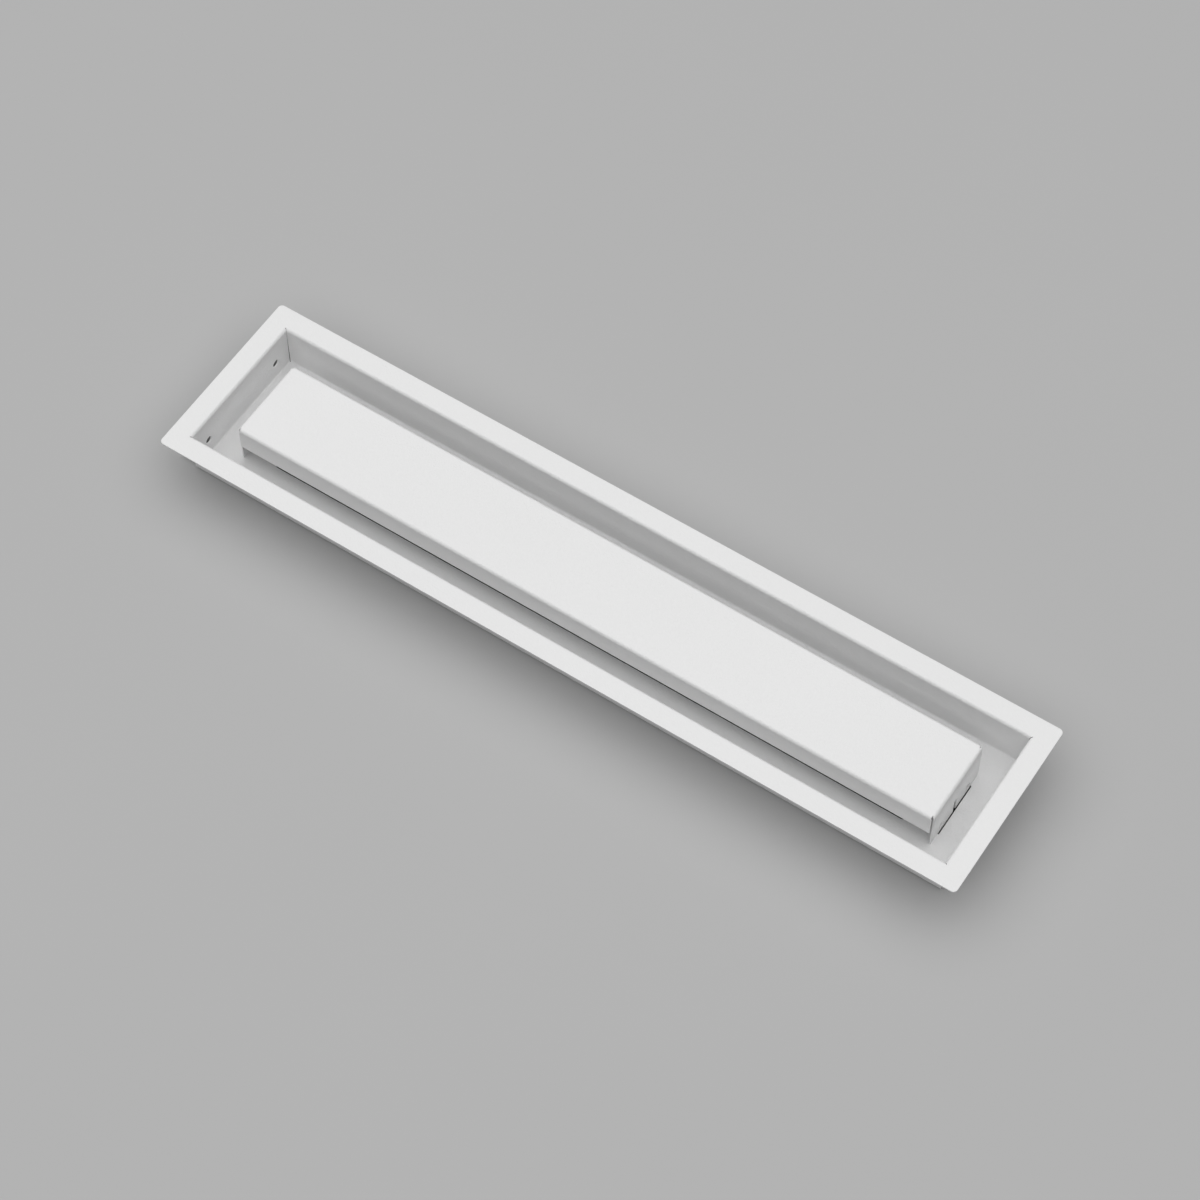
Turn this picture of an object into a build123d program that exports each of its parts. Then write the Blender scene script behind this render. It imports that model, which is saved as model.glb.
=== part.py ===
from build123d import *
import os

# Wall vent cover for a slot opening, in millimetres.
# It lies face up: +Z is the way the air leaves the wall, X runs along the slot.
# The origin is in the middle of the underside of the tray's floor.

# Sheet metal
sheet = 1.0
bend_inside = 1.4
seam = 0.35

# Tray, measured inside its walls
tray_length = 550.0
tray_width = 100.0
tray_depth = 33.5
rim_land = 15.0
rim_corner_radius = 3.0
wall_seam_reach = 1.7
screw_hole_diameter = 5.5
screw_hole_inset = 14.0
screw_hole_depth = 21.0

# Cover, measured over its folds
air_gap = 20.0
cover_below_rim = 0.5
lip_height = 18.0
leg_inset = 1.6
corner_relief = 0.9

# Tab on each leg, and its slot in the floor
tab_inset = 11.0
tab_hole_diameter = 5.5
tab_hole_inset = 3.5
tab_hole_height = 4.7
tab_split_width = 3.0
tab_split_height = 12.0
tab_clearance = 0.8
tab_end_clearance = 0.7

# Floor left round the duct opening, under the cover
duct_end_land = 20.0
duct_side_land = 7.0
duct_corner_radius = 4.0

# Sizes that follow
bend_outside = bend_inside + sheet
rim_length = tray_length + 2 * rim_land
rim_width = tray_width + 2 * rim_land
cover_length = tray_length - 2 * air_gap
cover_width = tray_width - 2 * air_gap
tab_width = cover_width - 2 * tab_inset
duct_length = cover_length - 2 * duct_end_land
duct_width = cover_width - 2 * duct_side_land

# Heights above the underside of the floor
floor_top = sheet
rim_top = floor_top + tray_depth
cover_top = rim_top - cover_below_rim

# Half sizes in plan
wall_x = tray_length / 2
wall_y = tray_width / 2
leg_x = cover_length / 2
lip_y = cover_width / 2
screw_hole_y = wall_y - screw_hole_inset
tab_hole_y = tab_width / 2 - tab_hole_inset


def bent_section(points, inside, outside):
    """Close a sheet's cross-section and round its bends, each corner given by its point."""
    section = make_face(Polyline(*points, close=True))
    for corners, radius in ((inside, bend_inside), (outside, bend_outside)):
        picked = [section.vertices().sort_by_distance(point)[0] for point in corners]
        section = fillet(picked, radius)
    return section


def box_between(x_low, x_high, y_low, y_high, z_low, z_high):
    """A box between two corners."""
    size = (x_high - x_low, y_high - y_low, z_high - z_low)
    lowest = (Align.MIN, Align.MIN, Align.MIN)
    return Pos(x_low, y_low, z_low) * Box(*size, align=lowest)


def at_both_ends(shape):
    """The shape, drawn at the +X end, and its mirror image at the other end."""
    return shape + mirror(shape, about=Plane.YZ)


def at_four_corners(shape):
    """The shape, drawn at the corner of +X and +Y, and its mirror images at the other three."""
    pair = at_both_ends(shape)
    return pair + mirror(pair, about=Plane.XZ)


def tray():
    """The pan: floor, four walls and rim, with its duct opening, slots and screw holes."""
    flat_x = wall_x - bend_outside
    flat_y = wall_y - bend_outside
    pan = tray_walls() + box_between(-flat_x, flat_x, -flat_y, flat_y, 0, floor_top)
    pan &= extrude(RectangleRounded(rim_length, rim_width, rim_corner_radius), rim_top)
    pan -= extrude(RectangleRounded(duct_length, duct_width, duct_corner_radius), floor_top)
    pan -= at_both_ends(tab_slot())
    pan -= at_four_corners(screw_hole())
    return pan - at_four_corners(corner_seam())


def tray_walls():
    """Floor edge, wall and rim, bent from one strip and carried round the window."""
    floor_edge = wall_y - bend_outside
    rim_edge = wall_y + rim_land + rim_corner_radius
    rim_bottom = rim_top - sheet
    points = [(0, floor_edge, floor_top), (0, wall_y, floor_top), (0, wall_y, rim_top),
              (0, rim_edge, rim_top), (0, rim_edge, rim_bottom),
              (0, wall_y + sheet, rim_bottom), (0, wall_y + sheet, 0), (0, floor_edge, 0)]
    section = bent_section(points, (points[1], points[5]), (points[2], points[6]))
    window = Polyline((0, wall_y, 0), (wall_x, wall_y, 0), (wall_x, -wall_y, 0),
                      (-wall_x, -wall_y, 0), (-wall_x, wall_y, 0), close=True)
    return sweep(section, path=window, transition=Transition.RIGHT)


def tab_slot():
    """The slot in the floor for one leg's tab."""
    width = sheet + 2 * tab_clearance
    length = tab_width + 2 * tab_end_clearance
    return Pos(leg_x - sheet / 2, 0, floor_top / 2) * Box(width, length, 2 * sheet)


def screw_hole():
    """One round hole through a short wall."""
    place = Pos(wall_x + sheet / 2, screw_hole_y, rim_top - screw_hole_depth)
    return place * Rot(Y=90) * Cylinder(screw_hole_diameter / 2, 2 * sheet)


def corner_seam():
    """The open seam between two walls, from the floor's bend into the rim's bend."""
    slit = box_between(-bend_inside, wall_seam_reach, -seam / 2, seam / 2, 0, rim_top)
    return Pos(wall_x, wall_y) * Rot(Z=45) * slit


def cover():
    """The panel over the duct: top, two lips and two legs with tabs."""
    flat_x = leg_x - bend_outside
    flat_y = lip_y - bend_outside
    lip_length = 2 * (leg_x - sheet - seam)
    lip = down_fold(lip_y, cover_top - lip_height, lip_length)
    folded = box_between(-flat_x, flat_x, -flat_y, flat_y, cover_top - sheet, cover_top)
    folded += Rot(Z=90) * lip + Rot(Z=-90) * lip
    folded += at_both_ends(leg())
    return folded - at_four_corners(cover_corner_relief())


def down_fold(reach, low, width):
    """An edge bent down: its outer face stands at x = reach and ends at z = low."""
    start = reach - 2 * bend_outside
    points = [(start, 0, cover_top), (reach, 0, cover_top), (reach, 0, low),
              (reach - sheet, 0, low), (reach - sheet, 0, cover_top - sheet),
              (start, 0, cover_top - sheet)]
    fold = extrude(bent_section(points, (points[4],), (points[1],)), width / 2, both=True)
    return fold & box_between(reach - bend_outside, reach, -width, width, low, cover_top)


def cover_corner_relief():
    """The notch where a lip's bend and a leg's bend would meet."""
    x_high = leg_x - sheet
    return box_between(x_high - corner_relief, x_high, lip_y - bend_outside, lip_y,
                       cover_top - bend_outside, cover_top)


def leg():
    """One end leg, with the tab that goes through the floor."""
    bent = down_fold(leg_x, floor_top, 2 * (lip_y - leg_inset))
    bent += box_between(leg_x - sheet, leg_x, -tab_width / 2, tab_width / 2, 0, floor_top)
    return bent - Pos(leg_x - sheet / 2, 0, 0) * tab_cuts()


def tab_cuts():
    """The split up the middle of a tab, and a round hole in each half."""
    through = 2 * sheet
    split_radius = tab_split_width / 2
    split_top = floor_top + tab_split_height - split_radius
    cuts = box_between(-through / 2, through / 2, -split_radius, split_radius, 0, split_top)
    cuts += Pos(0, 0, split_top) * Rot(Y=90) * Cylinder(split_radius, through)
    for y in (-tab_hole_y, tab_hole_y):
        hole = Rot(Y=90) * Cylinder(tab_hole_diameter / 2, through)
        cuts += Pos(0, y, floor_top + tab_hole_height) * hole
    return cuts


parts = {"tray": tray(), "cover": cover()}

os.makedirs("parts", exist_ok=True)
for name, shape in parts.items():
    export_step(shape, f"parts/{name}.step")
    size = shape.bounding_box().size
    print(name, len(shape.solids()), "solid", round(shape.volume), "mm3", size)
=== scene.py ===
# %% [markdown]
# # A wall vent cover in folded sheet metal
#
# The real object is made from two pieces of 1 mm steel sheet. The tray is a shallow pan with a flat
# rim that covers the edge of a slot in the wall. The cover is a long bridge that stands in the tray,
# over the duct, so that the air leaves all round it. Both are powder coated in one matt white.
# This lesson makes each piece the way a workshop makes it: the tray as one bent section carried
# round a window, and the cover as a flat blank that is cut, deburred and folded.

# %% Load the frame
import math

import bmesh
import bpy
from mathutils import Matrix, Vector


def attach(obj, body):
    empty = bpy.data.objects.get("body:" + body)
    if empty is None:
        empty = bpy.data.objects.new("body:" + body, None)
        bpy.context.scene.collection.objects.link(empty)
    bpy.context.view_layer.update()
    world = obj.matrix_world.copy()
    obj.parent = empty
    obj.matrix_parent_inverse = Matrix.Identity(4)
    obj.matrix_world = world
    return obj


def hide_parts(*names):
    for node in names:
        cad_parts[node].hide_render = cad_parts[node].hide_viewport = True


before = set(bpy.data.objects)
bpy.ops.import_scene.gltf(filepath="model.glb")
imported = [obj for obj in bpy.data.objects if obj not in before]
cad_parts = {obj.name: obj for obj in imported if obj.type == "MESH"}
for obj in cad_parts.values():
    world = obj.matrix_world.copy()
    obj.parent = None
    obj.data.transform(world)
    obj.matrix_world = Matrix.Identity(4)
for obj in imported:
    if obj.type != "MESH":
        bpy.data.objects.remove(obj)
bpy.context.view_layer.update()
print("CAD nodes:", {name: len(node.data.polygons) for name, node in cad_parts.items()})

# %% [markdown]
# The photograph looks down on the vent from 58 degrees above the horizon, from the right of its
# front, through a long lens. The camera was found from the corners of the rim and the window, so it
# is written as a place and a point to look at, both measured from the middle of the rim's top face.

# %% The camera
RIM_TOP = 0.0345
LENS = 100
SENSOR_WIDTH = 36
VIEW_DEPTH = 50
CAMERA_PLACE = (0.60123, -0.91372, 1.73220)
LOOK_AT = (0.00724, -0.01046, 0)


def new_object(name, data):
    """Make an object from its data, and link it to the scene."""
    made = bpy.data.objects.new(name, data)
    bpy.context.scene.collection.objects.link(made)
    return made


camera_data = bpy.data.cameras.new("camera")
camera = new_object("camera", camera_data)
camera_data.lens = LENS
camera_data.sensor_width = SENSOR_WIDTH
camera_data.clip_end = VIEW_DEPTH
rim_middle = Vector((0, 0, RIM_TOP))
camera.location = rim_middle + Vector(CAMERA_PLACE)
look_at = rim_middle + Vector(LOOK_AT)
camera.rotation_euler = (look_at - camera.location).to_track_quat("-Z", "Y").to_euler()
bpy.context.scene.camera = camera
print("camera is", round((look_at - camera.location).length, 3), "m away")

# %% [markdown]
# A material is a small tree of nodes, and so is a Geometry Nodes modifier. Written out in full, each
# node takes four or five lines, and a reader loses the thread. These helpers add a node with its
# links in one line, so that the trees below read like the sums that they are.

# %% Helpers for trees
def add(tree, kind, values=None, **settings):
    """Add a node with its settings. Each value is a number, or the output that feeds that socket."""
    made = tree.nodes.new(kind)
    for name, setting in settings.items():
        setattr(made, name, setting)
    for key, value in (values or {}).items():
        socket = made.inputs[key]
        if isinstance(value, bpy.types.NodeSocket):
            tree.links.new(value, socket)
        else:
            socket.default_value = value
    return made


def calc(tree, operation, *values):
    """One math node: its answer for these values."""
    node = add(tree, "ShaderNodeMath", dict(enumerate(values)), operation=operation)
    return node.outputs[0]


def axes_of(tree, vector):
    """The X, Y and Z of a vector."""
    return add(tree, "ShaderNodeSeparateXYZ", {0: vector}).outputs


def vector_of(tree, **axes):
    """The vector with these values on its axes. An axis that isn't named is zero."""
    return add(tree, "ShaderNodeCombineXYZ", axes).outputs[0]


print("tree helpers:", [helper.__name__ for helper in (add, calc, axes_of, vector_of)])

# %% [markdown]
# Powder coat is a plastic skin, baked on. It is matt, with a very fine orange peel: low waves about
# a millimetre across, and a finer grain on top of them. A noise texture at each of the two sizes
# makes the bump, and slower noises move the roughness and the whiteness by a percent or two, because
# a sprayed coat is never quite even. A noise only uses the middle of its range, so each depth below
# is several times the height of the real waves. All noises read Object coordinates, so nothing
# slides. A picture of real powder coat would show a seam and a scale that the object doesn't have.
#
# The cut faces inside the narrow seams are painted dark grey, as painted shade for the dark of the
# gap. The cutting tree marks those faces, and the coat reads the mark as an attribute.

# %% Powder coat
COAT_WHITE = 0.80
COAT_SHADE = 0.765
SEAM_SHADE_GREY = 0.07
COAT_ROUGHNESS = (0.50, 0.60)
COAT_SPECULAR = 0.4
CLOUD_PER_METRE = 11
CLOUD_SHARE = 0.6
SPECK_PER_METRE = 375
SPECK_SHARE = 0.2
PLAIN_SHARE = 0.2
NOISE_MIDDLE = (0.3, 0.7)
PEEL_PER_METRE = 750
PEEL_DEPTH = 0.00025
GRAIN_PER_METRE = 2600
GRAIN_DEPTH = 0.00006
SEAM_SHADE_MARK = "painted_seam_shade"


def grey(value):
    """An opaque neutral colour."""
    return (value, value, value, 1)


def mix(tree, factor, first, second):
    """The colour between two colours, as far along as the factor says."""
    blend = add(tree, "ShaderNodeMix", {"Factor": factor, 6: first, 7: second}, data_type="RGBA")
    return blend.outputs[2]


def noise(tree, place, per_metre, detail):
    """The 0 to 1 value of a noise whose largest blobs are about 1 / per_metre across."""
    values = {"Vector": place, "Scale": per_metre, "Detail": detail, "Roughness": 0.5}
    return add(tree, "ShaderNodeTexNoise", values).outputs["Fac"]


def new_material(name):
    """A material, with its tree, its shader's inputs and its Object coordinates."""
    made = bpy.data.materials.new(name)
    made.use_nodes = True
    tree = made.node_tree
    place = add(tree, "ShaderNodeTexCoord").outputs["Object"]
    return made, tree, tree.nodes["Principled BSDF"].inputs, place


def powder_coat():
    """The matt white coat of both pieces, with painted shade in the seams."""
    made, tree, shader, place = new_material("white_powder_coat")
    cloud = noise(tree, place, CLOUD_PER_METRE, 3)
    speck = noise(tree, place, SPECK_PER_METRE, 2)
    tone = calc(tree, "MULTIPLY_ADD", cloud, CLOUD_SHARE, PLAIN_SHARE)
    tone = calc(tree, "MULTIPLY_ADD", speck, SPECK_SHARE, tone)
    colour = mix(tree, tone, grey(COAT_SHADE), grey(COAT_WHITE))
    # Painted shade: faces marked as seam faces take a dark grey in place of the coat's white.
    seam_shade_mask = add(tree, "ShaderNodeAttribute", attribute_name=SEAM_SHADE_MARK).outputs["Fac"]
    tree.links.new(mix(tree, seam_shade_mask, colour, grey(SEAM_SHADE_GREY)), shader["Base Color"])

    gloss = add(tree, "ShaderNodeMapRange", {
        "Value": speck, "From Min": NOISE_MIDDLE[0], "From Max": NOISE_MIDDLE[1],
        "To Min": COAT_ROUGHNESS[0], "To Max": COAT_ROUGHNESS[1]})
    tree.links.new(gloss.outputs["Result"], shader["Roughness"])
    shader["Specular IOR Level"].default_value = COAT_SPECULAR

    peel = noise(tree, place, PEEL_PER_METRE, 1)
    grain = noise(tree, place, GRAIN_PER_METRE, 2)
    waves = add(tree, "ShaderNodeBump", {"Height": peel, "Distance": PEEL_DEPTH, "Strength": 1})
    fine = add(tree, "ShaderNodeBump", {"Height": grain, "Distance": GRAIN_DEPTH, "Strength": 1,
                                        "Normal": waves.outputs["Normal"]})
    tree.links.new(fine.outputs["Normal"], shader["Normal"])
    return made


coat = powder_coat()
print("coat nodes:", len(coat.node_tree.nodes))

# %% [markdown]
# Both pieces share one sheet, and these are its sizes, in metres. A press brake bends 1 mm steel to
# an inside radius a little over its thickness, and the coat rounds every cut edge slightly.
#
# The rule that shapes each piece is a Geometry Nodes tree, because then its sizes are named inputs
# that can be changed and run again. The export keeps plain meshes only, so each result is turned
# into one, and its modifier is removed.

# %% The sheet
SHEET = 0.001
BEND_INSIDE = 0.0014
BEND_OUTSIDE = BEND_INSIDE + SHEET
BEND_STEPS = 12
EDGE_ROUNDING = 0.00014
MERGE_DISTANCE = 0.000002


def finished_mesh(thing):
    """Turn what the modifiers make into a plain mesh, and drop the modifiers."""
    seen = thing.evaluated_get(bpy.context.evaluated_depsgraph_get())
    mesh = bpy.data.meshes.new_from_object(seen, preserve_all_data_layers=True,
                                           depsgraph=bpy.context.evaluated_depsgraph_get())
    thing.modifiers.clear()
    thing.data = mesh
    mesh.name = thing.name
    return mesh


def run_tree(thing, tree, sizes):
    """Run a geometry tree on an object, each input set by its socket's identifier."""
    modifier = thing.modifiers.new(tree.name, "NODES")
    modifier.node_group = tree
    for socket in tree.interface.items_tree:
        if socket.in_out == "INPUT" and socket.name in sizes:
            modifier[socket.identifier] = sizes[socket.name]
    return finished_mesh(thing)


def new_tree(name, sizes):
    """A geometry tree with an input for each size. Gives the tree and those inputs."""
    tree = bpy.data.node_groups.new(name, "GeometryNodeTree")
    tree.interface.new_socket("Geometry", in_out="OUTPUT", socket_type="NodeSocketGeometry")
    tree.interface.new_socket("Geometry", in_out="INPUT", socket_type="NodeSocketGeometry")
    for label, size in sizes.items():
        kind = {int: "NodeSocketInt", float: "NodeSocketFloat"}.get(type(size), "NodeSocketMaterial")
        tree.interface.new_socket(label, in_out="INPUT", socket_type=kind)
    return tree, tree.nodes.new("NodeGroupInput").outputs


def end_tree(tree, geometry, material):
    """Every tree ends alike: real geometry, with its material set."""
    real = add(tree, "GeometryNodeRealizeInstances", {"Geometry": geometry})
    coated = add(tree, "GeometryNodeSetMaterial", {"Geometry": real.outputs[0],
                                                   "Material": material})
    out = tree.nodes.new("NodeGroupOutput")
    tree.links.new(coated.outputs[0], out.inputs[0])


def triangles(thing):
    """The number of triangles of an object's mesh."""
    return sum(len(face.vertices) - 2 for face in thing.data.polygons)


print("sheet in mm:", 1000 * SHEET, "bent to", 1000 * BEND_INSIDE)

# %% [markdown]
# Walk across the tray from the middle of its floor: out along the floor, up the wall, out along the
# rim, round the rim's edge, and back along the other skin. That walk is the tray's section, eight
# corners with a radius at each. The section is drawn here as a plain line, with the distance outward
# from the window's wall as X and the height as Z. The tree will round the corners.

# %% The tray's section
WINDOW_LENGTH = 0.550
WINDOW_WIDTH = 0.100
RIM_LAND = 0.015
RIM_CORNER = 0.003

half_width = WINDOW_WIDTH / 2
rim_under = RIM_TOP - SHEET
section_walk = [(-half_width, SHEET, 0), (0, SHEET, BEND_INSIDE), (0, RIM_TOP, BEND_OUTSIDE),
                (RIM_LAND, RIM_TOP, EDGE_ROUNDING), (RIM_LAND, rim_under, EDGE_ROUNDING),
                (SHEET, rim_under, BEND_INSIDE), (SHEET, 0, BEND_OUTSIDE), (-half_width, 0, 0)]


def drawn_line(name, walk):
    """A line object through the walk's points, which keeps each corner's radius."""
    mesh = bpy.data.meshes.new(name)
    edges = [(i, i + 1) for i in range(len(walk) - 1)]
    mesh.from_pydata([(out, 0, up) for out, up, radius in walk], edges, [])
    radii = mesh.attributes.new("corner_radius", "FLOAT", "POINT")
    radii.data.foreach_set("value", [radius for out, up, radius in walk])
    return new_object(name, mesh)


tray = drawn_line("tray_sheet", section_walk)
print("section corners:", len(tray.data.vertices))

# %% [markdown]
# A ready-made sweep thins a section at a square corner, so this tree carries it round by rule. Every
# point of the section becomes one rounded rectangle: its half sides are the window's plus the
# point's distance outward, and its corner radius is zero until the point is out near the rim's edge.
# A grid has one row for each section point and one column for each step round the rectangle, and
# its vertices are moved to where that rule puts them. Merging the doubles closes the ring.

# %% Carry the section round the window
CORNER_STEPS = 10

tray_sizes = {"Window Length": WINDOW_LENGTH, "Window Width": WINDOW_WIDTH, "Rim Land": RIM_LAND,
              "Rim Corner Radius": RIM_CORNER, "Bend Steps": BEND_STEPS,
              "Corner Steps": CORNER_STEPS, "Coat": coat}


def row_and_column(tree, columns):
    """The row and the column of each vertex of a grid."""
    index = add(tree, "GeometryNodeInputIndex").outputs[0]
    row = calc(tree, "FLOOR", calc(tree, "DIVIDE", calc(tree, "ADD", index, 0.5), columns))
    return row, calc(tree, "SUBTRACT", index, calc(tree, "MULTIPLY", row, columns))


def carry_round_tree():
    """The tree that turns the drawn section into a pan."""
    tree, given = new_tree("carry_round_window", tray_sizes)
    curve = add(tree, "GeometryNodeMeshToCurve", {"Mesh": given["Geometry"]})
    radius = add(tree, "GeometryNodeInputNamedAttribute", {"Name": "corner_radius"})
    bent = add(tree, "GeometryNodeFilletCurve", {
        "Curve": curve.outputs[0], "Count": given["Bend Steps"],
        "Radius": radius.outputs["Attribute"]}, mode="POLY")
    count = add(tree, "GeometryNodeAttributeDomainSize", {"Geometry": bent.outputs[0]},
                component="CURVE")
    per_corner = calc(tree, "ADD", given["Corner Steps"], 1)
    columns = calc(tree, "MULTIPLY_ADD", per_corner, 4, 1)
    grid = add(tree, "GeometryNodeMeshGrid", {"Vertices X": count.outputs["Point Count"],
                                              "Vertices Y": columns})

    row, column = row_and_column(tree, columns)
    side = calc(tree, "FLOOR", calc(tree, "DIVIDE", calc(tree, "ADD", column, 0.5), per_corner))
    step = calc(tree, "SUBTRACT", column, calc(tree, "MULTIPLY", side, per_corner))
    turn = calc(tree, "DIVIDE", step, given["Corner Steps"])
    angle = calc(tree, "MULTIPLY", calc(tree, "ADD", side, turn), math.pi / 2)
    middle = calc(tree, "MULTIPLY", calc(tree, "ADD", side, 0.5), math.pi / 2)

    place = add(tree, "GeometryNodeInputPosition")
    walked = add(tree, "GeometryNodeSampleIndex", {
        "Geometry": bent.outputs[0], "Value": place.outputs[0], "Index": row},
        data_type="FLOAT_VECTOR")
    point = axes_of(tree, walked.outputs[0])
    fan_start = calc(tree, "SUBTRACT", given["Rim Land"], given["Rim Corner Radius"])
    fan = calc(tree, "MAXIMUM", calc(tree, "SUBTRACT", point["X"], fan_start), 0)

    spots = []
    for size, wave in (("Window Length", "COSINE"), ("Window Width", "SINE")):
        half = calc(tree, "ADD", calc(tree, "MULTIPLY", given[size], 0.5), point["X"])
        sign = calc(tree, "SIGN", calc(tree, wave, middle))
        corner = calc(tree, "MULTIPLY", sign, calc(tree, "SUBTRACT", half, fan))
        spots.append(calc(tree, "MULTIPLY_ADD", calc(tree, wave, angle), fan, corner))
    spot = vector_of(tree, X=spots[0], Y=spots[1], Z=point["Z"])
    moved = add(tree, "GeometryNodeSetPosition", {"Geometry": grid.outputs["Mesh"],
                                                  "Position": spot})
    merged = add(tree, "GeometryNodeMergeByDistance", {"Geometry": moved.outputs[0],
                                                       "Distance": MERGE_DISTANCE})
    end_tree(tree, merged.outputs[0], given["Coat"])
    return tree


pan_mesh = run_tree(tray, carry_round_tree(), tray_sizes)
print("pan faces:", len(pan_mesh.polygons))

# %% [markdown]
# A punch press cuts the openings while the sheet is still flat. Here they are cut from the folded
# pan with a boolean, which gives the same edges. Two kinds of opening sit at the pan's four corners:
# the screw holes, and the open seams where two walls meet. Each kind is one cutter, set on the four
# corners of a rectangle and turned to face its wall or its diagonal.

# %% Cutters for the screw holes and the seams
SCREW_RADIUS = 0.00275
SCREW_SPACING = 0.072
SCREW_HEIGHT = 0.0135
SEAM_WIDTH = 0.00035
SEAM_INSIDE = 0.0014
SEAM_OUTSIDE = 0.0017
CIRCLE_STEPS = 48


def four_points(tree, length, width, height):
    """The corners of a rectangle, as a mesh to put instances on."""
    grid = add(tree, "GeometryNodeMeshGrid", {"Size X": length, "Size Y": width, "Vertices X": 2,
                                              "Vertices Y": 2})
    return add(tree, "GeometryNodeTransform", {
        "Geometry": grid.outputs["Mesh"], "Translation": vector_of(tree, Z=height)}).outputs[0]


def put_on(tree, points, cutter, turn=(0, 0, 0)):
    """One instance of a cutter on each point."""
    return add(tree, "GeometryNodeInstanceOnPoints", {"Points": points, "Instance": cutter,
                                                      "Rotation": turn})


def screw_cutters(tree, given):
    """A round cutter through the short walls at each screw hole."""
    screw = add(tree, "GeometryNodeMeshCylinder", {
        "Vertices": CIRCLE_STEPS, "Radius": given["Screw Radius"], "Depth": given["Cut Through"]})
    wall_middle = calc(tree, "ADD", given["Window Length"], given["Sheet"])
    points = four_points(tree, wall_middle, given["Screw Spacing"], given["Screw Height"])
    return put_on(tree, points, screw.outputs["Mesh"], (0, math.pi / 2, 0))


def seam_cutters(tree, given):
    """A thin upright cutter along the diagonal of each corner of the window."""
    size = vector_of(tree, X=calc(tree, "ADD", given["Seam Inside"], given["Seam Outside"]),
                     Y=given["Seam Width"],
                     Z=calc(tree, "MULTIPLY_ADD", given["Cut Through"], 2, given["Height"]))
    seam = add(tree, "GeometryNodeMeshCube", {"Size": size})
    shift = calc(tree, "MULTIPLY", calc(tree, "SUBTRACT", given["Seam Outside"],
                                        given["Seam Inside"]), 0.5)
    shifted = add(tree, "GeometryNodeTransform", {"Geometry": seam.outputs["Mesh"],
                                                  "Translation": vector_of(tree, X=shift)})
    points = four_points(tree, given["Window Length"], given["Window Width"],
                         calc(tree, "MULTIPLY", given["Height"], 0.5))
    at = axes_of(tree, add(tree, "GeometryNodeInputPosition").outputs[0])
    diagonal = calc(tree, "ARCTAN2", calc(tree, "SIGN", at["Y"]), calc(tree, "SIGN", at["X"]))
    return put_on(tree, points, shifted.outputs[0], vector_of(tree, Z=diagonal))


print("screw holes:", 2000 * SCREW_RADIUS, "mm, seams:", 1000 * SEAM_WIDTH, "mm")

# %% [markdown]
# The other openings are in the tray's floor. The two slots for the cover's tabs are one box on two
# points. The duct opening is a rounded rectangle, drawn as a curve and carried straight up, because
# a box has no rounded corners.

# %% Cutters for the tab slots and the duct
SLOT_SPACING = 0.509
SLOT_WIDTH = 0.0026
SLOT_LENGTH = 0.0394
DUCT_LENGTH = 0.470
DUCT_WIDTH = 0.046
DUCT_CORNER = 0.004
DUCT_CORNER_STEPS = 12


def slot_cutters(tree, given):
    """A box through the floor for each of the cover's tabs."""
    size = vector_of(tree, X=given["Slot Width"], Y=given["Slot Length"], Z=given["Cut Through"])
    slot = add(tree, "GeometryNodeMeshCube", {"Size": size})
    reach = calc(tree, "MULTIPLY", given["Slot Spacing"], 0.5)
    points = add(tree, "GeometryNodeMeshLine", {
        "Count": 2, "Start Location": vector_of(tree, X=calc(tree, "MULTIPLY", reach, -1)),
        "Offset": vector_of(tree, X=reach)}, mode="END_POINTS")
    return put_on(tree, points.outputs[0], slot.outputs["Mesh"])


def duct_cutter(tree, given):
    """A prism through the floor, in the shape of the duct."""
    opening = add(tree, "GeometryNodeCurvePrimitiveQuadrilateral", {
        "Width": given["Duct Length"], "Height": given["Duct Width"]})
    rounded = add(tree, "GeometryNodeFilletCurve", {
        "Curve": opening.outputs[0], "Count": DUCT_CORNER_STEPS,
        "Radius": given["Duct Corner Radius"]}, mode="POLY")
    low = calc(tree, "MULTIPLY", given["Cut Through"], -1)
    upward = add(tree, "GeometryNodeCurvePrimitiveLine", {
        "Start": vector_of(tree, Z=low), "End": vector_of(tree, Z=given["Cut Through"])})
    return add(tree, "GeometryNodeCurveToMesh", {
        "Curve": upward.outputs[0], "Profile Curve": rounded.outputs[0], "Fill Caps": True})


print("duct opening in mm:", 1000 * DUCT_LENGTH, "x", 1000 * DUCT_WIDTH)

# %% [markdown]
# All the cutters go into one exact boolean. It also tells which edges it made, and those get a bevel
# weight, because the coat will round them. The narrow seams are left out, since a rounding would
# fill them: an edge nearer than the seam clearance to a corner of the window gets no weight. The
# same test, and the way a face looks, find the cut faces inside the seams, which get painted shade.

# %% Cut the openings
CUT_THROUGH = 0.003
SEAM_CLEARANCE = 0.006
UPRIGHT_LIMIT = 0.3
DIAGONAL_LIMIT = 0.4

cut_sizes = {"Window Length": WINDOW_LENGTH, "Window Width": WINDOW_WIDTH, "Sheet": SHEET,
             "Height": RIM_TOP, "Screw Radius": SCREW_RADIUS, "Screw Spacing": SCREW_SPACING,
             "Screw Height": SCREW_HEIGHT, "Seam Width": SEAM_WIDTH, "Seam Inside": SEAM_INSIDE,
             "Seam Outside": SEAM_OUTSIDE, "Slot Spacing": SLOT_SPACING, "Slot Width": SLOT_WIDTH,
             "Slot Length": SLOT_LENGTH, "Duct Length": DUCT_LENGTH, "Duct Width": DUCT_WIDTH,
             "Duct Corner Radius": DUCT_CORNER, "Cut Through": CUT_THROUGH,
             "Seam Clearance": SEAM_CLEARANCE, "Coat": coat}


def store(tree, geometry, name, value, domain):
    """Store a number on each edge or face of a geometry."""
    kept = add(tree, "GeometryNodeStoreNamedAttribute", {
        "Geometry": geometry, "Name": name, "Value": value}, data_type="FLOAT", domain=domain)
    return kept.outputs[0]


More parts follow.
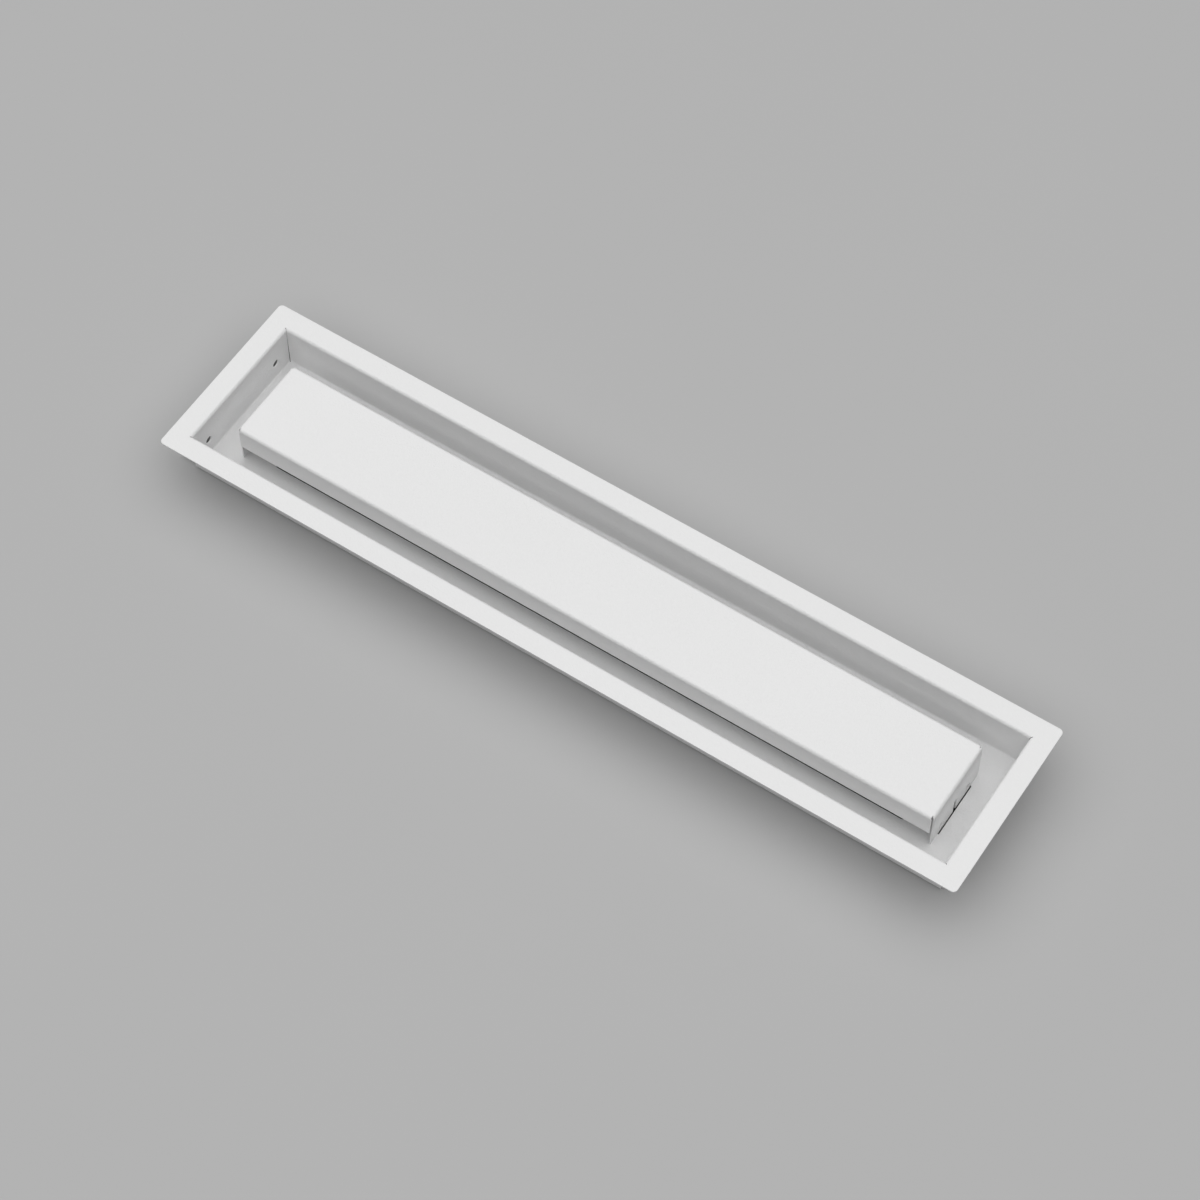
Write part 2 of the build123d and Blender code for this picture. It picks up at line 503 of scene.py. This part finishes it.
def clear_of_seams(tree, given):
    """1 where a point is clear of the window's four corners, and 0 near them."""
    at = axes_of(tree, add(tree, "GeometryNodeInputPosition").outputs[0])
    from_corner = [calc(tree, "ABSOLUTE", calc(tree, "MULTIPLY_ADD", given[size], -0.5,
                                               calc(tree, "ABSOLUTE", at[axis])))
                   for size, axis in (("Window Length", "X"), ("Window Width", "Y"))]
    farther = calc(tree, "MAXIMUM", *from_corner)
    return calc(tree, "GREATER_THAN", farther, given["Seam Clearance"])


def diagonal_faces(tree):
    """1 on an upright face that looks along a diagonal."""
    way = axes_of(tree, add(tree, "GeometryNodeInputNormal").outputs[0])
    upright = calc(tree, "LESS_THAN", calc(tree, "ABSOLUTE", way["Z"]), UPRIGHT_LIMIT)
    turned = calc(tree, "ABSOLUTE", calc(tree, "MULTIPLY", way["X"], way["Y"]))
    return calc(tree, "MULTIPLY", upright, calc(tree, "GREATER_THAN", turned, DIAGONAL_LIMIT))


def cutting_tree():
    """The tree that cuts every opening of the pan, and marks the cut edges and the seam faces for
    painted shade.
    """
    tree, given = new_tree("cut_openings", cut_sizes)
    cutters = add(tree, "GeometryNodeJoinGeometry")
    for cutter in (screw_cutters, seam_cutters, slot_cutters, duct_cutter):
        tree.links.new(cutter(tree, given).outputs[0], cutters.inputs[0])
    solid = add(tree, "GeometryNodeRealizeInstances", {"Geometry": cutters.outputs[0]})
    cut = add(tree, "GeometryNodeMeshBoolean", {"Mesh 1": given["Geometry"],
                                                "Mesh 2": solid.outputs[0]},
              operation="DIFFERENCE", solver="EXACT")
    clear = clear_of_seams(tree, given)
    weight = calc(tree, "MULTIPLY", cut.outputs["Intersecting Edges"], clear)
    weighted = store(tree, cut.outputs["Mesh"], "bevel_weight_edge", weight, "EDGE")
    # Painted shade: upright diagonal faces near the window's corners, inside the seams, are marked
    # to be painted dark.
    in_seam = calc(tree, "MULTIPLY", diagonal_faces(tree), calc(tree, "SUBTRACT", 1, clear))
    end_tree(tree, store(tree, weighted, SEAM_SHADE_MARK, in_seam, "FACE"), given["Coat"])
    return tree


cut_mesh = run_tree(tray, cutting_tree(), cut_sizes)
print("cut faces:", len(cut_mesh.polygons))

# %% [markdown]
# The coat and the tumbling before it leave no sharp edge. The rim's edge was rounded in the section,
# so only the edges that the cutters made are left. A bevel modifier reads the weights that the tree
# stored on them. Then the faces are smoothed, but creases over 40 degrees stay, and the weighted
# normals let the large flat faces decide, so that flat sheet looks flat and only the bends curve.

# %% Round the cut edges and smooth the sheet
ROUNDING_STEPS = 3
CREASE = math.radians(40)
FLAT_FACE_WEIGHT = 100


def coat_edges(thing):
    """Round the marked edges of an object's mesh."""
    bevel = thing.modifiers.new("coat_rounding", "BEVEL")
    bevel.limit_method = "WEIGHT"
    bevel.width = EDGE_ROUNDING
    bevel.segments = ROUNDING_STEPS
    bevel.use_clamp_overlap = False
    return finished_mesh(thing)


def smooth_sheet(thing):
    """Smooth the bends and roundings, and keep the flat faces flat."""
    thing.data.shade_smooth()
    thing.data.set_sharp_from_angle(angle=CREASE)
    weights = thing.modifiers.new("flat_faces_decide", "WEIGHTED_NORMAL")
    weights.keep_sharp = True
    weights.weight = FLAT_FACE_WEIGHT
    return finished_mesh(thing)


coat_edges(tray)
smooth_sheet(tray)
print("tray triangles:", triangles(tray))

# %% [markdown]
# The cover starts as the flat blank that a laser or a punch cuts. Its outline is one quarter,
# mirrored twice. The bend lines lie 2.4 mm inside the folded size, and each bend uses up 2.98 mm of
# sheet, which is a quarter circle along the sheet's middle.
#
# At each corner a small notch keeps the lip's bend and the leg's bend from meeting. Each leg has a
# foot that stands on the tray's floor, and a narrower tab, one sheet longer, that goes into it. The
# tab has a round-ended split up its middle and a round hole on each side.

# %% The outline of the cover's blank
COVER_LENGTH = 0.510
COVER_WIDTH = 0.060
COVER_TOP = 0.034
LIP_HEIGHT = 0.018
LEG_HALF_WIDTH = 0.0284
TAB_HALF_WIDTH = 0.019
SPLIT_HALF_WIDTH = 0.0015
SPLIT_CENTRE_HEIGHT = 0.0115
SPLIT_STEPS = 10
TAB_HOLE_HEIGHT = 0.0057
TAB_HOLE_Y = 0.0155
TAB_HOLE_RADIUS = 0.00275
LIP_END = 0.00105
LIP_BEND_END = 0.0005
NOTCH_END = 0.00118
BEND_ALLOWANCE = (BEND_INSIDE + SHEET / 2) * math.pi / 2
BEND_LINE_X = COVER_LENGTH / 2 - BEND_OUTSIDE
BEND_LINE_Y = COVER_WIDTH / 2 - BEND_OUTSIDE

bend_end_x = BEND_LINE_X + BEND_ALLOWANCE
bend_end_y = BEND_LINE_Y + BEND_ALLOWANCE
lip_edge = bend_end_y + LIP_HEIGHT - BEND_OUTSIDE
tab_end = bend_end_x + COVER_TOP - BEND_OUTSIDE
foot = tab_end - SHEET
split_centre = tab_end - SPLIT_CENTRE_HEIGHT
tab_hole_x = tab_end - TAB_HOLE_HEIGHT

quarter = [(BEND_LINE_X + LIP_END, lip_edge), (BEND_LINE_X + LIP_END, bend_end_y),
           (BEND_LINE_X + LIP_BEND_END, bend_end_y), (BEND_LINE_X + LIP_BEND_END, BEND_LINE_Y),
           (BEND_LINE_X + NOTCH_END, BEND_LINE_Y), (BEND_LINE_X + NOTCH_END, LEG_HALF_WIDTH),
           (foot, LEG_HALF_WIDTH), (foot, TAB_HALF_WIDTH), (tab_end, TAB_HALF_WIDTH),
           (tab_end, SPLIT_HALF_WIDTH)]
for step in range(SPLIT_STEPS + 1):
    turn = -math.pi / 2 * step / SPLIT_STEPS
    quarter.append((split_centre + SPLIT_HALF_WIDTH * math.sin(turn),
                    SPLIT_HALF_WIDTH * math.cos(turn)))
print("blank in mm:", round(2000 * tab_end, 2), "x", round(2000 * lip_edge, 2))

# %% [markdown]
# A filled 2D curve takes any outline and any holes, as a laser does, so the blank is one. Its own
# bevel rounds the cut edges, and its offset keeps the size. It is drawn in millimetres, so that the
# curve's fill never takes two near corners for one.

# %% The cover's blank
MM = 1000


def closed_curve(shape, points):
    """Add a closed straight-sided outline to a 2D curve."""
    outline = shape.splines.new("POLY")
    outline.points.add(len(points) - 1)
    for point, (x, y) in zip(outline.points, points):
        point.co = (x * MM, y * MM, 0, 1)
    outline.use_cyclic_u = True


def circle(x, y, radius):
    """The points of a circle."""
    turns = [2 * math.pi * i / CIRCLE_STEPS for i in range(CIRCLE_STEPS)]
    return [(x + radius * math.cos(turn), y + radius * math.sin(turn)) for turn in turns]


def cover_blank():
    """The flat blank, filled and 1 mm thick, in millimetres."""
    shape = bpy.data.curves.new("cover_blank", "CURVE")
    shape.dimensions = "2D"
    shape.fill_mode = "BOTH"
    rounding = EDGE_ROUNDING * MM
    shape.bevel_depth = rounding
    shape.bevel_resolution = ROUNDING_STEPS - 1
    shape.offset = -rounding
    shape.extrude = SHEET * MM / 2 - rounding
    right_end = quarter[:-1] + [(x, -y) for x, y in reversed(quarter)]
    closed_curve(shape, right_end + [(-x, y) for x, y in reversed(right_end)])
    for x in (-tab_hole_x, tab_hole_x):
        for y in (-TAB_HOLE_Y, TAB_HOLE_Y):
            closed_curve(shape, circle(x, y, TAB_HOLE_RADIUS))
    return new_object("cover_blank", shape)


blank = cover_blank()
blank_seen = blank.evaluated_get(bpy.context.evaluated_depsgraph_get())
flat_mesh = bpy.data.meshes.new_from_object(blank_seen)
bpy.data.objects.remove(blank)
cover = new_object("cover_sheet", flat_mesh)
print("blank faces:", len(flat_mesh.polygons))

# %% [markdown]
# A face can only bend where it has vertices. The blank is cut across at even steps through each of
# the four bends, and scaled from millimetres to metres. Cutting in this way keeps the outline.

# %% Score the bends
SCORE_TOLERANCE = 0.0001


def score_bends(mesh):
    """Cut the flat mesh across each bend, then scale it to metres and merge its doubles."""
    sheet = bmesh.new()
    sheet.from_mesh(mesh)
    for axis, start in ((0, BEND_LINE_X), (1, BEND_LINE_Y)):
        for side in (-1, 1):
            for step in range(BEND_STEPS + 1):
                reach = MM * (start + BEND_ALLOWANCE * step / BEND_STEPS)
                spot, normal = Vector((0, 0, 0)), Vector((0, 0, 0))
                spot[axis], normal[axis] = side * reach, side
                bmesh.ops.bisect_plane(sheet, geom=sheet.verts[:] + sheet.edges[:] + sheet.faces[:],
                                       dist=SCORE_TOLERANCE, plane_co=spot, plane_no=normal)
    bmesh.ops.scale(sheet, vec=(1 / MM, 1 / MM, 1 / MM), verts=sheet.verts)
    bmesh.ops.remove_doubles(sheet, verts=sheet.verts, dist=MERGE_DISTANCE)
    bmesh.ops.recalc_face_normals(sheet, faces=sheet.faces)
    sheet.to_mesh(mesh)
    sheet.free()


score_bends(cover.data)
print("scored faces:", len(cover.data.polygons))

# %% [markdown]
# The press brake folds a flap down by rolling it round the bend's centre. A point at a distance s
# past the bend line turns by up to a quarter circle while s is inside the allowance, and whatever is
# left of s hangs straight down. Its depth in the sheet decides which radius it turns on. The tree
# below is that rule, used for the legs at the ends and for the lips along the sides.

# %% Fold the cover
LIP_TOLERANCE = 0.000001

fold_sizes = {"Bend Line X": BEND_LINE_X, "Bend Line Y": BEND_LINE_Y,
              "Bend Allowance": BEND_ALLOWANCE, "Bend Outside": BEND_OUTSIDE, "Sheet": SHEET,
              "Top": COVER_TOP, "Leg Starts Beyond": BEND_LINE_X + (LIP_END + NOTCH_END) / 2,
              "Coat": coat}


def folding_tree():
    """The tree that folds the blank's two legs and two lips."""
    tree, given = new_tree("press_brake", fold_sizes)
    at = axes_of(tree, add(tree, "GeometryNodeInputPosition").outputs[0])
    over_x, over_y = [calc(tree, "SUBTRACT", calc(tree, "ABSOLUTE", at[axis]),
                           given["Bend Line " + axis]) for axis in "XY"]

    side_of_lip = calc(tree, "GREATER_THAN", over_y, LIP_TOLERANCE)
    beyond = calc(tree, "GREATER_THAN", calc(tree, "ABSOLUTE", at["X"]),
                  given["Leg Starts Beyond"])
    in_leg = calc(tree, "MULTIPLY", calc(tree, "GREATER_THAN", over_x, 0),
                  calc(tree, "MAXIMUM", calc(tree, "SUBTRACT", 1, side_of_lip), beyond))
    in_lip = calc(tree, "MULTIPLY", side_of_lip, calc(tree, "SUBTRACT", 1, in_leg))

    distance = calc(tree, "ADD", calc(tree, "MULTIPLY", in_leg, over_x),
                    calc(tree, "MULTIPLY", in_lip, over_y))
    turned = calc(tree, "MINIMUM", calc(tree, "DIVIDE", distance, given["Bend Allowance"]), 1)
    angle = calc(tree, "MULTIPLY", turned, math.pi / 2)
    hanging = calc(tree, "MAXIMUM", calc(tree, "SUBTRACT", distance, given["Bend Allowance"]), 0)
    depth = calc(tree, "SUBTRACT", calc(tree, "MULTIPLY", given["Sheet"], 0.5), at["Z"])
    radius = calc(tree, "SUBTRACT", given["Bend Outside"], depth)
    outward = calc(tree, "MULTIPLY", calc(tree, "SINE", angle), radius)
    centre = calc(tree, "SUBTRACT", given["Top"], given["Bend Outside"])
    height = calc(tree, "SUBTRACT",
                  calc(tree, "MULTIPLY_ADD", calc(tree, "COSINE", angle), radius, centre), hanging)

    spots = []
    for axis, folded in zip("XY", (in_leg, in_lip)):
        reach = calc(tree, "MULTIPLY", calc(tree, "SIGN", at[axis]),
                     calc(tree, "ADD", given["Bend Line " + axis], outward))
        shift = calc(tree, "MULTIPLY", folded, calc(tree, "SUBTRACT", reach, at[axis]))
        spots.append(calc(tree, "ADD", at[axis], shift))
    bent = add(tree, "GeometryNodeSetPosition", {
        "Geometry": given["Geometry"],
        "Position": vector_of(tree, X=spots[0], Y=spots[1], Z=height)})
    end_tree(tree, bent.outputs[0], given["Coat"])
    return tree


run_tree(cover, folding_tree(), fold_sizes)
smooth_sheet(cover)
print("cover triangles:", triangles(cover))

# %% [markdown]
# Each finished sheet takes the place of its CAD node, which already fixes where it goes. Nothing in
# this vent moves, so both ride on the one body.

# %% Seat the pieces
for piece, node in ((tray, "tray"), (cover, "cover")):
    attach(piece, "root")
    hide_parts(node)
print("pieces:", tray.name, cover.name)

# %% [markdown]
# The vent lies face up on a floor of pale matt paper, as in a studio. In use it sits in a dark slot,
# so its screw holes, tab slots and duct opening look black. A painted shadow in the paper stands in
# for the shade of that slot: a dark patch that fades out at its edge. It lies under the tray and
# under the back and left parts of the rim, where the camera's view only meets it through the
# openings. A black card under the vent would do the same, but its hard edge would show in views from
# the back.

# %% The floor
FLOOR_GREY = 0.46
FLOOR_SHADE_SHIFT = 0.015
FLOOR_CLOUD_PER_METRE = 3
FLOOR_HEIGHT = -0.0002
FLOOR_REACH = 9
PAPER_ROUGHNESS = 0.9
PAPER_SPECULAR = 0.1
PAINTED_SHADOW_GREY = 0.02
PAINTED_SHADOW_MIDDLE = (-0.007, 0.0065)
PAINTED_SHADOW_HALF_SIZE = (0.269, 0.0445)
PAINTED_SHADOW_FADE = (0.003, 0.014)


def pale_paper():
    """The floor's paper, with a painted shadow under the vent."""
    made, tree, shader, place = new_material("pale_paper")
    cloud = noise(tree, place, FLOOR_CLOUD_PER_METRE, 4)
    colour = mix(tree, cloud, grey(FLOOR_GREY * (1 - FLOOR_SHADE_SHIFT)),
                 grey(FLOOR_GREY * (1 + FLOOR_SHADE_SHIFT)))
    at = axes_of(tree, place)
    # Painted shadow: a dark patch under the vent, fading out at its edge.
    past = [calc(tree, "SUBTRACT", calc(tree, "ABSOLUTE", calc(tree, "SUBTRACT", at[axis], middle)),
                 half) for axis, middle, half in zip("XY", PAINTED_SHADOW_MIDDLE, PAINTED_SHADOW_HALF_SIZE)]
    paper_share = add(tree, "ShaderNodeMapRange", {
        "Value": calc(tree, "MAXIMUM", *past), "From Min": PAINTED_SHADOW_FADE[0],
        "From Max": PAINTED_SHADOW_FADE[1]}, interpolation_type="SMOOTHSTEP")
    with_painted_shadow = mix(tree, paper_share.outputs["Result"], grey(PAINTED_SHADOW_GREY), colour)
    tree.links.new(with_painted_shadow, shader["Base Color"])
    shader["Roughness"].default_value = PAPER_ROUGHNESS
    shader["Specular IOR Level"].default_value = PAPER_SPECULAR
    return made


floor_mesh = bpy.data.meshes.new("floor")
floor_mesh.from_pydata([(x * FLOOR_REACH, y * FLOOR_REACH, FLOOR_HEIGHT)
                        for x, y in ((-1, -1), (1, -1), (1, 1), (-1, 1))], [], [(0, 1, 2, 3)])
floor = new_object("floor", floor_mesh)
floor_mesh.materials.append(pale_paper())
print("floor is", 2 * FLOOR_REACH, "m wide")

# %% [markdown]
# The light in the photograph comes from a very large soft source overhead: the faces that look up
# are bright, and the walls of the tray, which see only half of it, are a third darker. One wide
# round lamp above the floor does that. Several smaller lamps would throw shadows that the photograph
# doesn't have. A dim even world keeps the shade under the cover from going black, and the backdrop
# that the camera and glossy rays see is lighter than that world, but lights nothing.

# %% The lamp and the world
LAMP_HEIGHT = 2.6
LAMP_SIDE_STEP = -0.2
LAMP_HALF_ANGLE = math.radians(56)
LAMP_WATTS = 196
WORLD_STRENGTH = 0.06
BACKDROP_STRENGTH = 0.42

lamp_data = bpy.data.lights.new("overhead", "AREA")
lamp_data.shape = "DISK"
lamp_data.size = 2 * LAMP_HEIGHT * math.tan(LAMP_HALF_ANGLE)
lamp_data.energy = LAMP_WATTS
lamp = new_object("overhead", lamp_data)
lamp.location = (LAMP_SIDE_STEP, LAMP_SIDE_STEP, LAMP_HEIGHT)

world = bpy.data.worlds.new("studio")
world.use_nodes = True
sky = world.node_tree
backdrop = sky.nodes["Background"].inputs
backdrop["Color"].default_value = grey(1)
ray = add(sky, "ShaderNodeLightPath").outputs
seen = calc(sky, "MAXIMUM", ray["Is Camera Ray"], ray["Is Glossy Ray"])
seen = calc(sky, "MAXIMUM", seen, ray["Is Transmission Ray"])
strength = add(sky, "ShaderNodeMapRange", {"Value": seen, "To Min": WORLD_STRENGTH,
                                           "To Max": BACKDROP_STRENGTH})
sky.links.new(strength.outputs["Result"], backdrop["Strength"])
bpy.context.scene.world = world
bpy.context.scene.view_settings.view_transform = "Standard"
print("lamp is", round(lamp_data.size, 2), "m across")
